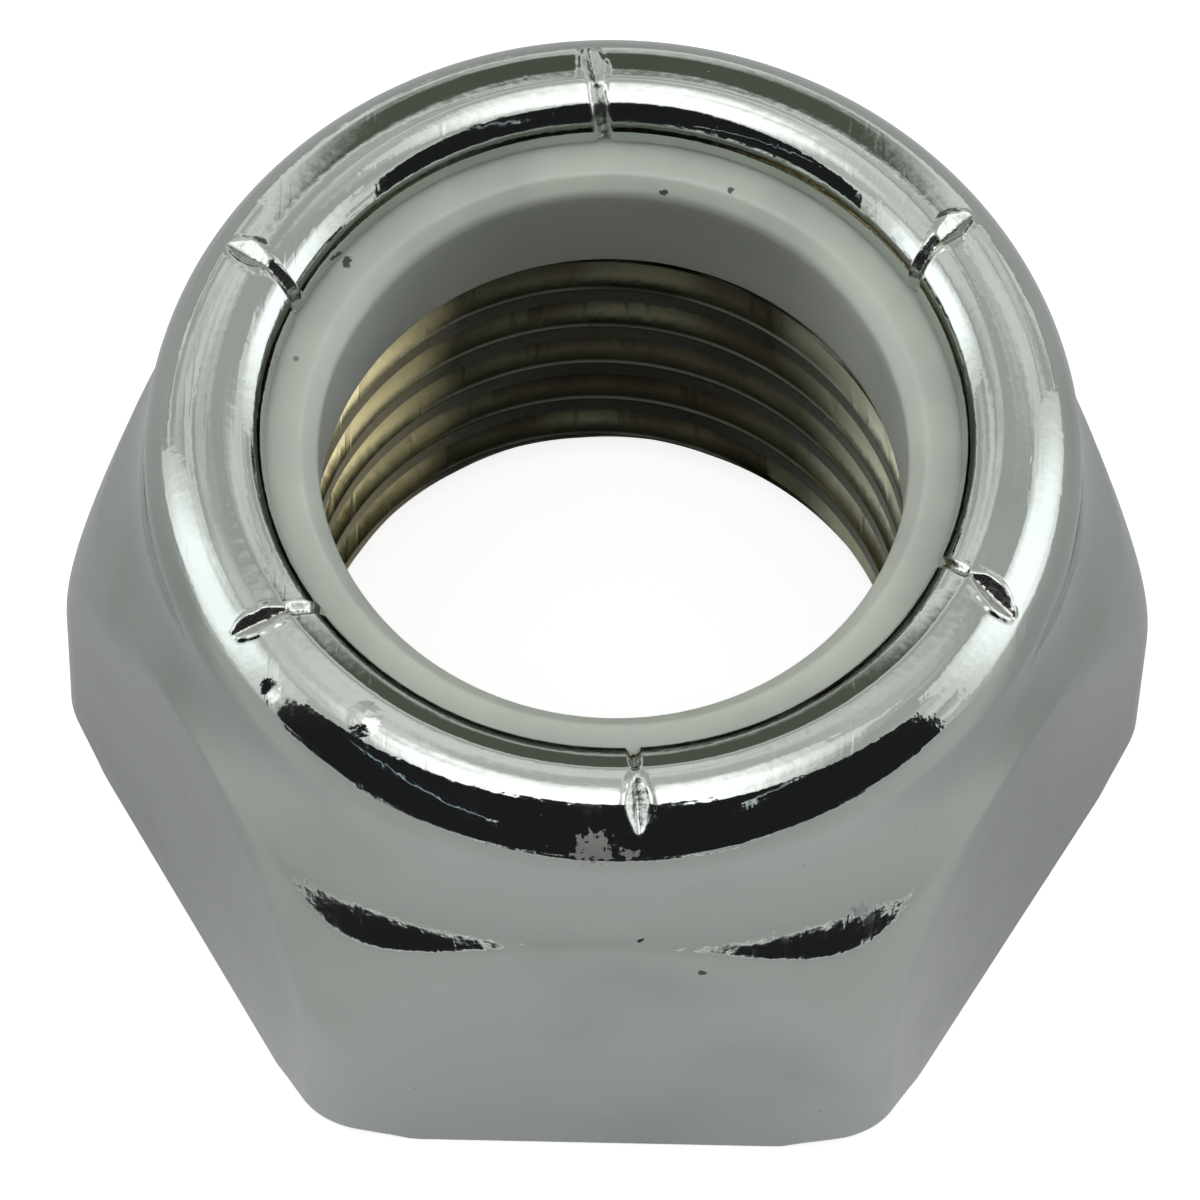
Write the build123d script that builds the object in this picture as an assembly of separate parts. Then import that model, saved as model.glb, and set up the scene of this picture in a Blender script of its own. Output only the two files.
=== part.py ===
from build123d import *
import math
import os

# A 7/16-20 nylon insert lock nut, in millimetres. It stands on its bearing face at Z = 0, with the
# thread's axis on Z and one flat of the hexagon facing -Y. Its radii are stacked from the thread
# outwards, and reach the 5/8 inch (15.875 mm) wrench size at the flats. Its levels are stacked from
# the bearing face up to the lip's crest, and from there down the outside.

# Thread, at its minor diameter, with its lead-in chamfers and height
thread_minor_radius = 4.96
mouth_chamfer = 0.85
seat_chamfer = 0.6
seat_level = 7.35  # top of the threaded length, where the insert sits

# Nylon insert
insert_grip = 0.18  # how far its bore stands inside the thread's minor radius
insert_wall = 1.87  # from its bore to the collar's wall
insert_height = 2.45
insert_chamfer = 0.3
insert_clearance = 0.03  # left all round between the nylon and the steel, except under it

# Collar and the lip that is rolled over the insert
collar_wall = 0.95
collar_straight = 0.34  # upright length between the waist and the lip
lip_round = 1.3  # from the collar's outside in to the crest, and as high
lip_return = 0.72  # from the crest in to the lip's edge
lip_return_height = 0.72
lip_edge_height = 0.18  # upright face of the lip's edge, above the insert
seat_bevel = 0.5  # inside corner between the collar's wall and the lip

# Nicks that the rolling tool presses into the lip
nick_count = 6
nick_turn = 3.93  # degrees from the middle of each flat, counter-clockwise
nick_start = 38.0  # degrees round the lip's outside, from the collar
nick_end = 84.0
nick_vee = 122.0  # opening angle

# Hexagon and shoulder
flat_step = 0.3375  # from the collar out to the flats
corner_round = 1.0  # radius on the six upright edges, up to where they start to fade
corner_fade = 3.89  # from there up to the seat, where the forged corners are at their roundest
flat_top_width = 0.6  # what they leave of each flat there
fade_steps = 4  # straight stretches that the fade is made of
shoulder_slope = 60.0  # degrees from the bearing face
waist_round = 4.45  # radius that turns the shoulder's slope upright into the collar
bearing_chamfer_width = 0.72  # from the sharp corners in to the bearing face
bearing_chamfer_height = 0.6

insert_bore_radius = thread_minor_radius - insert_grip
mouth_radius = thread_minor_radius + mouth_chamfer
seat_mouth_radius = thread_minor_radius + seat_chamfer
seat_radius = insert_bore_radius + insert_wall
collar_radius = seat_radius + collar_wall
crest_radius = collar_radius - lip_round
lip_edge_radius = crest_radius - lip_return
flat_radius = collar_radius + flat_step
corner_radius = flat_radius / math.cos(math.radians(30))

seat_top = seat_level + insert_height
lip_edge_top = seat_top + lip_edge_height
crest_level = lip_edge_top + lip_return_height
collar_level = crest_level - lip_round
waist_level = collar_level - collar_straight


def shoulder_lines():
    """From the collar down to the sharp corners: a round waist, then a steep cone."""
    slope = math.radians(shoulder_slope)
    waist_top = (collar_radius, waist_level)
    waist = JernArc(waist_top, (0, -1), waist_round, 90 - shoulder_slope)
    cone_width = corner_radius - (waist @ 1).X
    cone = Line(waist @ 1, (corner_radius, (waist @ 1).Y - cone_width * math.tan(slope)))
    return [Line((collar_radius, collar_level), waist_top), waist, cone]


def lip_lines():
    """The lip from the collar up to its crest, then down inside to its edge."""
    outside = JernArc((collar_radius, collar_level), (0, 1), lip_round, 90)
    edge = (lip_edge_radius, lip_edge_top)
    return [outside, Bezier(outside @ 1, (lip_edge_radius, crest_level), edge)]


def body_section():
    """Half section of the turned and rolled nut, before the hexagon trims it."""
    shoulder = shoulder_lines()
    bearing = Polyline(
        (mouth_radius, 0),
        (corner_radius - bearing_chamfer_width, 0),
        (corner_radius, bearing_chamfer_height),
        shoulder[-1] @ 1,
    )
    inside = Polyline(
        (lip_edge_radius, lip_edge_top),
        (lip_edge_radius, seat_top),
        (seat_radius - seat_bevel, seat_top),
        (seat_radius, seat_top - seat_bevel),
        (seat_radius, seat_level),
        (seat_mouth_radius, seat_level),
        (thread_minor_radius, seat_level - seat_chamfer),
        (thread_minor_radius, mouth_chamfer),
        (mouth_radius, 0),
    )
    return Plane.XZ * make_face([bearing, *shoulder, *lip_lines(), inside])


def hexagon_outline(level, radius):
    """The hexagon at one level, with its corners rounded to a radius."""
    outline = RegularPolygon(flat_radius, 6, major_radius=False)
    return Pos(0, 0, level) * fillet(outline.vertices(), radius)


def hexagon():
    """The hexagon that the outside is trimmed to. Its corners fade towards the collar, as forged."""
    fade_start = seat_level - corner_fade
    roundest = flat_radius - flat_top_width / 2 / math.tan(math.radians(30))
    outlines = []
    for step in range(fade_steps + 1):
        share = step / fade_steps
        radius = corner_round + (roundest - corner_round) * share**2
        outlines.append(hexagon_outline(fade_start + corner_fade * share, radius))
    lower = extrude(outlines[0], -fade_start)
    upper = extrude(outlines[-1], crest_level - seat_level)
    return lower + loft(outlines, ruled=True) + upper


def lip_point(turn):
    """A point over +X on the lip's outside, turn degrees up from the collar."""
    roll = math.radians(turn)
    radius = crest_radius + lip_round * math.cos(roll)
    return Vector(radius, 0, collar_level + lip_round * math.sin(roll))


def nick_cutter():
    """A vee-shaped bar over +X. Its edge is a chord of the lip, so the nick fades at both ends."""
    upper_end = lip_point(nick_end)
    edge = lip_point(nick_start) - upper_end
    half_width = edge.length * math.tan(math.radians(nick_vee / 2))
    vee = Polyline((0, 0), (half_width, edge.length), (-half_width, edge.length), close=True)
    return extrude(Plane(upper_end, x_dir=(0, 1, 0), z_dir=edge) * make_face(vee), edge.length)


def nut_body():
    """The steel nut: hexagon, collar and rolled lip in one piece, bored to the thread's minor diameter."""
    body = revolve(body_section(), Axis.Z) & hexagon()
    flat_middle = -90
    for index in range(nick_count):
        body -= Rot(0, 0, flat_middle + nick_turn + index * 360 / nick_count) * nick_cutter()
    return body


def nylon_insert():
    """The nylon ring that stands on the seat and fills it up to the rolled lip."""
    outside = seat_radius - insert_clearance
    top = seat_top - insert_clearance
    section = Polyline(
        (insert_bore_radius, seat_level),
        (outside, seat_level),
        (outside, top - seat_bevel),
        (outside - seat_bevel, top),
        (insert_bore_radius + insert_chamfer, top),
        (insert_bore_radius, top - insert_chamfer),
        close=True,
    )
    return revolve(Plane.XZ * make_face(section), Axis.Z)


os.makedirs("parts", exist_ok=True)
export_step(nut_body(), "parts/nut_body.step")
export_step(nylon_insert(), "parts/nylon_insert.step")
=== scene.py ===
"""Looks of a 7/16-20 nylon insert lock nut: a plated steel nut whose lip is rolled over a nylon ring.

Sizes are in millimetres, as on a drawing, until a mesh is made: meshes, the camera and the studio
are in metres. The nut stands on Z = 0 with its thread's axis on Z, and one flat faces -Y.
"""

from __future__ import annotations

import logging
import math
from dataclasses import dataclass, field
from enum import Enum

import bmesh
import bpy
import numpy as np
from mathutils import Matrix, Vector

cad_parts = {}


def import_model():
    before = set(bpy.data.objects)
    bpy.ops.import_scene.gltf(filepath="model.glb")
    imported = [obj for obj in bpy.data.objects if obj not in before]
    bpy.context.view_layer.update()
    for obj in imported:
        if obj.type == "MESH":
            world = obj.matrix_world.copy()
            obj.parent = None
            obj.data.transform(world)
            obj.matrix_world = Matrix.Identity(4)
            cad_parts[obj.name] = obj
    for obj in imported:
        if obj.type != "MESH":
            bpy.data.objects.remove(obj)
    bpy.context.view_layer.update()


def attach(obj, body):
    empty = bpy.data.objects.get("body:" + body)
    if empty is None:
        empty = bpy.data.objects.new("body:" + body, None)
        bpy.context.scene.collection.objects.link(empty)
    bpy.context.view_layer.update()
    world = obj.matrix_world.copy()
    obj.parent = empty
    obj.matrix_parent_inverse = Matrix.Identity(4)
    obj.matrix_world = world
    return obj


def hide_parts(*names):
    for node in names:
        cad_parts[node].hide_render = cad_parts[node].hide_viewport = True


log = logging.getLogger("lock_nut")

MM = 0.001
SEED = 7
WHITE = (1.0, 1.0, 1.0, 1.0)
MARK_NOISE_SCALE = 9000.0


class NodeKind(Enum):
    """The two kinds of node tree that this script builds."""

    GEOMETRY = "GeometryNodeTree"
    SHADER = "ShaderNodeTree"


class SocketKind(Enum):
    """Types of the named inputs and outputs of a tree or group."""

    NUMBER = "NodeSocketFloat"
    COUNT = "NodeSocketInt"
    VECTOR = "NodeSocketVector"
    COLOUR = "NodeSocketColor"
    GEOMETRY = "NodeSocketGeometry"
    MATERIAL = "NodeSocketMaterial"


class NodeWriter:
    """Adds nodes to one tree and wires them, so that a tree reads like the formula it stands for."""

    def __init__(self, tree: bpy.types.NodeTree) -> None:
        """Starts on a tree.

        Args:
            tree: the tree that the nodes go into.
        """
        self.tree = tree

    def node(self, kind: str, inputs: dict | None = None, **settings: object) -> bpy.types.Node:
        """Adds one node.

        Args:
            kind: the node's type name.
            inputs: socket name or index to a number, a vector, a material or another node's output.
            settings: properties set on the node itself.

        Returns:
            The new node.
        """
        made = self.tree.nodes.new(kind)
        for name, value in settings.items():
            setattr(made, name, value)
        for socket, value in (inputs or {}).items():
            self.feed(made.inputs[socket], value)
        return made

    def feed(self, socket: bpy.types.NodeSocket, value: object) -> None:
        """Links an output to a socket, or sets a plain value on it.

        Args:
            socket: the input that takes the value.
            value: another node's output, or a plain value.
        """
        if isinstance(value, bpy.types.NodeSocket):
            self.tree.links.new(value, socket)
        else:
            socket.default_value = value

    def math(self, operation: str, *values: object) -> bpy.types.NodeSocket:
        """One Math node.

        Args:
            operation: the node's operation, such as MULTIPLY.
            values: its inputs in order.

        Returns:
            Its output.
        """
        made = self.node("ShaderNodeMath", dict(enumerate(values)), operation=operation)
        return made.outputs[0]

    def remap(
        self,
        value: object,
        low: object,
        high: object,
        to_low: object,
        to_high: object,
        curve: str = "SMOOTHSTEP",
    ) -> bpy.types.NodeSocket:
        """A clamped Map Range node.

        Args:
            value: what is mapped.
            low: value that gives to_low.
            high: value that gives to_high.
            to_low: result at low.
            to_high: result at high.
            curve: the node's interpolation.

        Returns:
            Its output.
        """
        inputs = dict(enumerate((value, low, high, to_low, to_high)))
        made = self.node("ShaderNodeMapRange", inputs, interpolation_type=curve)
        return made.outputs[0]

    def mix(self, factor: object, first: object, second: object) -> bpy.types.NodeSocket:
        """A colour mix.

        Args:
            factor: share of the second colour.
            first: colour at factor 0.
            second: colour at factor 1.

        Returns:
            The mixed colour.
        """
        made = self.node("ShaderNodeMix", data_type="RGBA")
        for socket, value in zip((0, 6, 7), (factor, first, second)):
            self.feed(made.inputs[socket], value)
        return made.outputs[2]

    def noise(
        self, place: object, scale: float, detail: float, roughness: float = 0.5
    ) -> bpy.types.NodeSocket:
        """A noise texture.

        Args:
            place: the coordinates that it follows.
            scale: how many of its coarsest bumps fit in one unit of them.
            detail: how many finer layers it has.
            roughness: how strong the finer layers are.

        Returns:
            Its value, around 0.5.
        """
        inputs = {"Vector": place, "Scale": scale, "Detail": detail, "Roughness": roughness}
        return self.node("ShaderNodeTexNoise", inputs).outputs[0]

    def from_axis(self, place: object) -> tuple[bpy.types.NodeSocket, ...]:
        """Measures a place from the Z axis.

        Args:
            place: the place.

        Returns:
            Its X, its Y and its distance from the axis.
        """
        parts = self.node("ShaderNodeSeparateXYZ", {0: place}).outputs
        flat_place = self.node("ShaderNodeCombineXYZ", {0: parts[0], 1: parts[1]}).outputs[0]
        away = self.node("ShaderNodeVectorMath", {0: flat_place}, operation="LENGTH")
        return parts[0], parts[1], away.outputs["Value"]


def new_material(name: str) -> tuple[bpy.types.Material, NodeWriter]:
    """Makes a material that has no nodes yet.

    Args:
        name: its name.

    Returns:
        The material and its tree's writer.
    """
    made = bpy.data.materials.new(name)
    made.use_nodes = True
    made.node_tree.nodes.clear()
    return made, NodeWriter(made.node_tree)


def new_tree(
    name: str, kind: NodeKind, inputs: dict[str, tuple], outputs: dict[str, SocketKind]
) -> tuple[NodeWriter, bpy.types.Node, bpy.types.Node]:
    """Makes a node tree or group with named inputs and outputs.

    Args:
        name: the tree's name.
        kind: geometry or shader.
        inputs: name to socket kind and default value, None where it has none.
        outputs: name to socket kind.

    Returns:
        The tree's writer, its input node and its output node.
    """
    tree = bpy.data.node_groups.new(name, kind.value)
    for label, (socket_kind, default) in inputs.items():
        socket = tree.interface.new_socket(label, in_out="INPUT", socket_type=socket_kind.value)
        if default is not None:
            socket.default_value = default
    for label, socket_kind in outputs.items():
        tree.interface.new_socket(label, in_out="OUTPUT", socket_type=socket_kind.value)
    writer = NodeWriter(tree)
    return writer, writer.node("NodeGroupInput"), writer.node("NodeGroupOutput")


def dress_by_tree(piece: bpy.types.Object, tree: bpy.types.NodeTree, values: dict) -> None:
    """Runs a geometry tree on a piece and keeps the result as the piece's plain mesh.

    Args:
        piece: the object whose mesh is worked on.
        tree: the geometry tree.
        values: the tree's input names to the values that this piece gives them.
    """
    modifier = piece.modifiers.new(tree.name, "NODES")
    modifier.node_group = tree
    for item in tree.interface.items_tree:
        if item.in_out == "INPUT" and item.name in values:
            modifier[item.identifier] = values[item.name]
    piece.update_tag()
    seen = piece.evaluated_get(bpy.context.evaluated_depsgraph_get())
    mesh = bpy.data.meshes.new_from_object(seen)
    piece.modifiers.remove(modifier)
    old = piece.data
    piece.data = mesh
    bpy.data.meshes.remove(old)


def corner_curve(before: np.ndarray, corner: np.ndarray, after: np.ndarray, steps: int) -> list:
    """Points of a soft corner, from the point before it to the point after it.

    Args:
        before: radius and height where the corner begins, one row for each column.
        corner: radius and height of the sharp corner.
        after: radius and height where it ends.
        steps: stretches that it is made of.

    Returns:
        The rows of points, both ends among them.
    """
    shares = np.linspace(0, 1, steps + 1)
    return [
        (1 - s) ** 2 * before + 2 * s * (1 - s) * corner + s**2 * after for s in shares
    ]


def straight(start: np.ndarray, end: np.ndarray, steps: int) -> list:
    """Rows of points between two rows, without either.

    Args:
        start: first row.
        end: last row.
        steps: stretches between them.

    Returns:
        The rows in between.
    """
    return [start + (end - start) * s for s in np.linspace(0, 1, steps + 1)[1:-1]]


class GridMesh:
    """Collects rings of points round the Z axis and the faces between them."""

    def __init__(self) -> None:
        """Starts empty."""
        self.points: list[np.ndarray] = []
        self.faces: list[tuple] = []
        self.lip: list[np.ndarray] = []
        self.count = 0

    def ring(self, turns: np.ndarray, row: np.ndarray, lip: float = 0.0) -> np.ndarray:
        """Adds one ring.

        Args:
            turns: azimuth of each point, in radians.
            row: radius and height of each point, in millimetres.
            lip: distance along the lip's section, in millimetres, 0 off the lip.

        Returns:
            The indices of its points.
        """
        radius, height = row[:, 0], row[:, 1]
        place = np.stack([radius * np.cos(turns), radius * np.sin(turns), height], axis=1)
        self.points.append(place * MM)
        self.lip.append(np.full(len(turns), lip * MM))
        first = self.count
        self.count += len(turns)
        return np.arange(first, self.count)

    def join(self, low: np.ndarray, high: np.ndarray) -> None:
        """Fills the band between two rings that have the same azimuths.

        Args:
            low: indices of one ring.
            high: indices of the next.
        """
        corners = (low, np.roll(low, -1), np.roll(high, -1), high)
        self.faces.extend(map(tuple, np.stack(corners, axis=1).tolist()))

    def zip(self, first: np.ndarray, first_turns: np.ndarray, second: np.ndarray,
            second_turns: np.ndarray) -> None:
        """Fills the band between two rings with different azimuths by triangles.

        Args:
            first: indices of one ring.
            first_turns: its azimuths, rising.
            second: indices of the other.
            second_turns: its azimuths, rising.
        """
        one, two = 0, 0
        ends = (np.append(first_turns, first_turns[0] + math.tau),
                np.append(second_turns, second_turns[0] + math.tau))
        while one < len(first) or two < len(second):
            here, there = first[one % len(first)], second[two % len(second)]
            if two == len(second) or (one < len(first) and ends[0][one + 1] <= ends[1][two + 1]):
                one += 1
                self.faces.append((here, first[one % len(first)], there))
            else:
                two += 1
                self.faces.append((here, second[two % len(second)], there))

    def build(self, name: str) -> bpy.types.Object:
        """Makes the object.

        Args:
            name: the piece's name.

        Returns:
            The object, with the lip's distances in the attribute lip_length.
        """
        mesh = bpy.data.meshes.new(name)
        faces = [tuple(int(i) for i in face) for face in self.faces]
        mesh.from_pydata(np.concatenate(self.points).tolist(), [], faces)
        attribute = mesh.attributes.new("lip_length", "FLOAT", "POINT")
        attribute.data.foreach_set("value", np.concatenate(self.lip).astype(np.float32))
        piece = bpy.data.objects.new(name, mesh)
        bpy.context.scene.collection.objects.link(piece)
        return piece


def close_and_smooth(piece: bpy.types.Object, sharp_angle: float, inside_radius: float) -> None:
    """Turns all faces outwards, shades them smooth and keeps the hidden inner corners sharp.

    Args:
        piece: the object, whose mesh is closed.
        sharp_angle: corners sharper than this, in degrees, are kept sharp inside the bore.
        inside_radius: the radius, in millimetres, up to which corners are kept.
    """
    work = bmesh.new()
    work.from_mesh(piece.data)
    bmesh.ops.recalc_face_normals(work, faces=work.faces)
    open_edges = sum(1 for edge in work.edges if len(edge.link_faces) != 2)
    for face in work.faces:
        face.smooth = True
    for edge in work.edges:
        place = (edge.verts[0].co + edge.verts[1].co) / 2
        inside = math.hypot(place.x, place.y) < inside_radius * MM
        if inside and edge.calc_face_angle(0) > math.radians(sharp_angle):
            edge.smooth = False
    work.to_mesh(piece.data)
    work.free()
    log.info("%s: %d faces, %d open edges", piece.name, len(piece.data.polygons), open_edges)


@dataclass(frozen=True)
class SurfaceWear:
    """The shader group for what handling leaves on a surface: fine scratches and pits."""

    scratch_spacing: float = 0.35
    scratch_turns: tuple = (0.4, 1.9)
    scratch_stretch: tuple = (1, 0.06, 0.3)
    scratch_edge: tuple = (0.62, 0.68)
    pit_spacing: float = 1.1
    pit_edge: tuple = (0.03, 0.07)

    def group(self) -> bpy.types.NodeTree:
        """Builds the group once.

        Returns:
            A group with the inputs Scratches and Pits and the outputs Height and Mask.
        """
        name = "surface_wear"
        if name in bpy.data.node_groups:
            return bpy.data.node_groups[name]
        number = SocketKind.NUMBER
        inputs = {"Scratches": (number, 0.5), "Pits": (number, 0.5)}
        outputs = {"Height": number, "Mask": number}
        writer, given, result = new_tree(name, NodeKind.SHADER, inputs, outputs)
        place = writer.node("ShaderNodeTexCoord").outputs["Object"]
        heights = []
        for turn in self.scratch_turns:
            mapped = writer.node(
                "ShaderNodeMapping",
                {"Vector": place, "Rotation": (turn, turn * 2, turn), "Scale": self.scratch_stretch},
            )
            lines = writer.noise(mapped.outputs[0], 1 / (self.scratch_spacing * MM), 2.0)
            heights.append(writer.remap(lines, *self.scratch_edge, 0.0, 1.0))
        scratches = writer.math(
            "MULTIPLY", writer.math("MAXIMUM", *heights), given.outputs["Scratches"]
        )
        cells = writer.node(
            "ShaderNodeTexVoronoi", {"Vector": place, "Scale": 1 / (self.pit_spacing * MM)}
        )
        near_cell = writer.remap(cells.outputs[0], *self.pit_edge, 1.0, 0.0)
        pits = writer.math("MULTIPLY", near_cell, given.outputs["Pits"])
        height = writer.math("MULTIPLY", writer.math("ADD", scratches, pits), -1.0)
        writer.feed(result.inputs["Height"], height)
        writer.feed(result.inputs["Mask"], writer.math("MAXIMUM", scratches, pits))
        return writer.tree

    def add(self, writer: NodeWriter, scratches: float, pits: float) -> bpy.types.Node:
        """Adds the group to a material.

        Args:
            writer: the material's tree.
            scratches: how strong the scratches are.
            pits: how strong the pits are.

        Returns:
            The group's node.
        """
        inputs = {"Scratches": scratches, "Pits": pits}
        return writer.node("ShaderNodeGroup", inputs, node_tree=self.group())


@dataclass(frozen=True)
class Mark:
    """One blemish that this nut has, in millimetres."""

    name: str
    place: tuple
    radius: float
    raised: float
    dulled: float
    colour: tuple
    matt: float = 0.0
    ragged: float = 2.5
    core: float = 0.75

    def share(self, writer: NodeWriter, place: bpy.types.NodeSocket,
              noise: bpy.types.NodeSocket) -> bpy.types.NodeSocket:
        """Where the mark is: 1 in its core and 0 outside its ragged edge.

        Args:
            writer: the material's tree.
            place: the object's own coordinates.
            noise: the noise that all marks take their ragged edges from.

        Returns:
            The share.
        """
        middle = tuple(c * MM for c in self.place)
        away = writer.node(
            "ShaderNodeVectorMath", {0: place, 1: middle}, operation="DISTANCE"
        ).outputs["Value"]
        uneven = writer.math("MULTIPLY", writer.math("SUBTRACT", noise, 0.5), self.ragged)
        edge = writer.math("MULTIPLY", writer.math("ADD", uneven, 1.0), self.radius * MM)
        return writer.remap(away, writer.math("MULTIPLY", edge, self.core), edge, 1.0, 0.0)


@dataclass(frozen=True)
class Chrome:
    """Bright plating on steel: a mirror with a faint orange peel and the marks of a parts bin."""

    name: str = "chrome_plating"
    colour: tuple = (0.475, 0.505, 0.478, 1.0)
    stain: tuple = (0.41, 0.44, 0.412, 1.0)
    torn: tuple = (0.50, 0.515, 0.485, 1.0)
    roughness: float = 0.05
    torn_roughness: float = 0.13
    peel_spacing: float = 0.19
    peel_height: float = 0.0040
    ring_spacing: float = 0.26
    ring_length: float = 7.0
    ring_height: float = 0.016
    torn_spacing: float = 0.07
    torn_height: float = 0.005
    wear_height: float = 0.0035
    wear_roughness: float = 0.12
    film_scale: float = 260.0
    film_stained: tuple = (0.45, 0.75)
    film_dull: tuple = (0.4, 0.8)
    scratches: float = 0.35
    pits: float = 0.5
    marks: tuple = (
        Mark("blister", (-3.89, -5.48, 10.63), 0.32, 0.040, 0.0, (0.66, 0.67, 0.64, 1.0),
             ragged=0.3, core=0.0),
        Mark("dent", (-5.40, -4.84, 10.28), 0.22, -0.035, 0.0, (0.45, 0.46, 0.44, 1.0),
             ragged=0.5, core=0.0),
        Mark("scuff", (-0.22, -7.40, 10.06), 0.30, 0.0, 0.4, (0.42, 0.42, 0.40, 1.0), 0.8, 3.6),
        Mark("small_scuff", (0.34, -7.44, 9.96), 0.14, 0.0, 0.4, (0.42, 0.42, 0.40, 1.0), 0.8, 3.6),
        Mark("pit_on_collar", (0.58, -7.83, 7.60), 0.05, -0.010, 0.3, (0.05, 0.05, 0.05, 1.0)),
        Mark("pit_on_flat", (1.60, -7.93, 6.68), 0.07, -0.010, 0.3, (0.10, 0.09, 0.08, 1.0)),
        Mark("curl", (4.13, -6.95, 7.06), 0.14, 0.010, 0.3, (0.60, 0.60, 0.60, 1.0)),
    )

    def tint(self, writer: NodeWriter, place: bpy.types.NodeSocket,
             patches: bpy.types.NodeSocket) -> bpy.types.NodeSocket:
        """The plating's colour.

        Args:
            writer: the material's tree.
            place: the object's own coordinates; not used here.
            patches: share of the stained colour.

        Returns:
            The colour.
        """
        return writer.mix(patches, self.colour, self.stain)

    def noise(self, writer: NodeWriter, place: bpy.types.NodeSocket, spacing: float,
              height: float, detail: float) -> bpy.types.NodeSocket:
        """An even unevenness of the surface.

        Args:
            writer: the material's tree.
            place: the coordinates that it follows.
            spacing: its spacing in millimetres.
            height: its height in millimetres.
            detail: how many finer layers it has.

        Returns:
            The height.
        """
        return writer.math("MULTIPLY", writer.noise(place, 1 / (spacing * MM), detail, 0.4), height)

    def rolling_marks(self, writer: NodeWriter, place: bpy.types.NodeSocket) -> bpy.types.NodeSocket:
        """The faint rings that rolling leaves round the lip.

        Args:
            writer: the material's tree.
            place: the object's own coordinates.

        Returns:
            Their height in millimetres, even off the lip.
        """
        across = writer.node("ShaderNodeAttribute", attribute_name="lip_length").outputs["Fac"]
        parts = writer.node("ShaderNodeSeparateXYZ", {0: place}).outputs
        shrunk = [writer.math("MULTIPLY", part, self.ring_spacing / self.ring_length)
                  for part in (parts[0], parts[1])]
        stretched = writer.node("ShaderNodeCombineXYZ", {0: shrunk[0], 1: shrunk[1], 2: across})
        return self.noise(writer, stretched.outputs[0], self.ring_spacing, self.ring_height, 2.0)

    def material(self) -> bpy.types.Material:
        """Builds the finish.

        Returns:
            The material.
        """
        made, writer = new_material(self.name)
        place = writer.node("ShaderNodeTexCoord").outputs["Object"]
        wear = SurfaceWear().add(writer, self.scratches, self.pits)
        torn = writer.node("ShaderNodeAttribute", attribute_name="torn").outputs["Fac"]
        peel = self.noise(writer, place, self.peel_spacing, self.peel_height, 2.0)
        ragged = self.noise(writer, place, self.torn_spacing, self.torn_height, 3.0)
        heights = [
            peel,
            self.rolling_marks(writer, place),
            writer.math("MULTIPLY", ragged, torn),
            writer.math("MULTIPLY", wear.outputs["Height"], self.wear_height),
        ]
        film = writer.noise(place, self.film_scale, 2.0)
        colour = self.tint(writer, place, writer.remap(film, *self.film_stained, 0.0, 1.0))
        colour = writer.mix(torn, colour, self.torn)
        roughness = writer.math(
            "ADD",
            writer.remap(film, *self.film_dull, self.roughness, self.roughness * 2),
            writer.math("MULTIPLY", wear.outputs["Mask"], self.wear_roughness),
        )
        roughness = writer.math(
            "ADD", roughness, writer.math("MULTIPLY", torn, self.torn_roughness)
        )
        metallic = 1.0
        if self.marks:
            ragged_edge = writer.noise(place, MARK_NOISE_SCALE, 3.0)
        for mark in self.marks:
            share = mark.share(writer, place, ragged_edge)
            heights.append(writer.math("MULTIPLY", share, mark.raised))
            colour = writer.mix(share, colour, mark.colour)
            roughness = writer.math("ADD", roughness, writer.math("MULTIPLY", share, mark.dulled))
            if mark.matt:
                metallic = writer.math("SUBTRACT", metallic, writer.math("MULTIPLY", share, mark.matt))
        height = heights[0]
        for more in heights[1:]:
            height = writer.math("ADD", height, more)
        bump = writer.node("ShaderNodeBump", {"Strength": 1.0, "Distance": MM, "Height": height})
        shader = writer.node(
            "ShaderNodeBsdfPrincipled",
            {
                "Base Color": colour,
                "Metallic": metallic,
                "Roughness": roughness,
                "Normal": bump.outputs[0],
            },
        )
        writer.node("ShaderNodeOutputMaterial", {"Surface": shader.outputs[0]})
        return made


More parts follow.
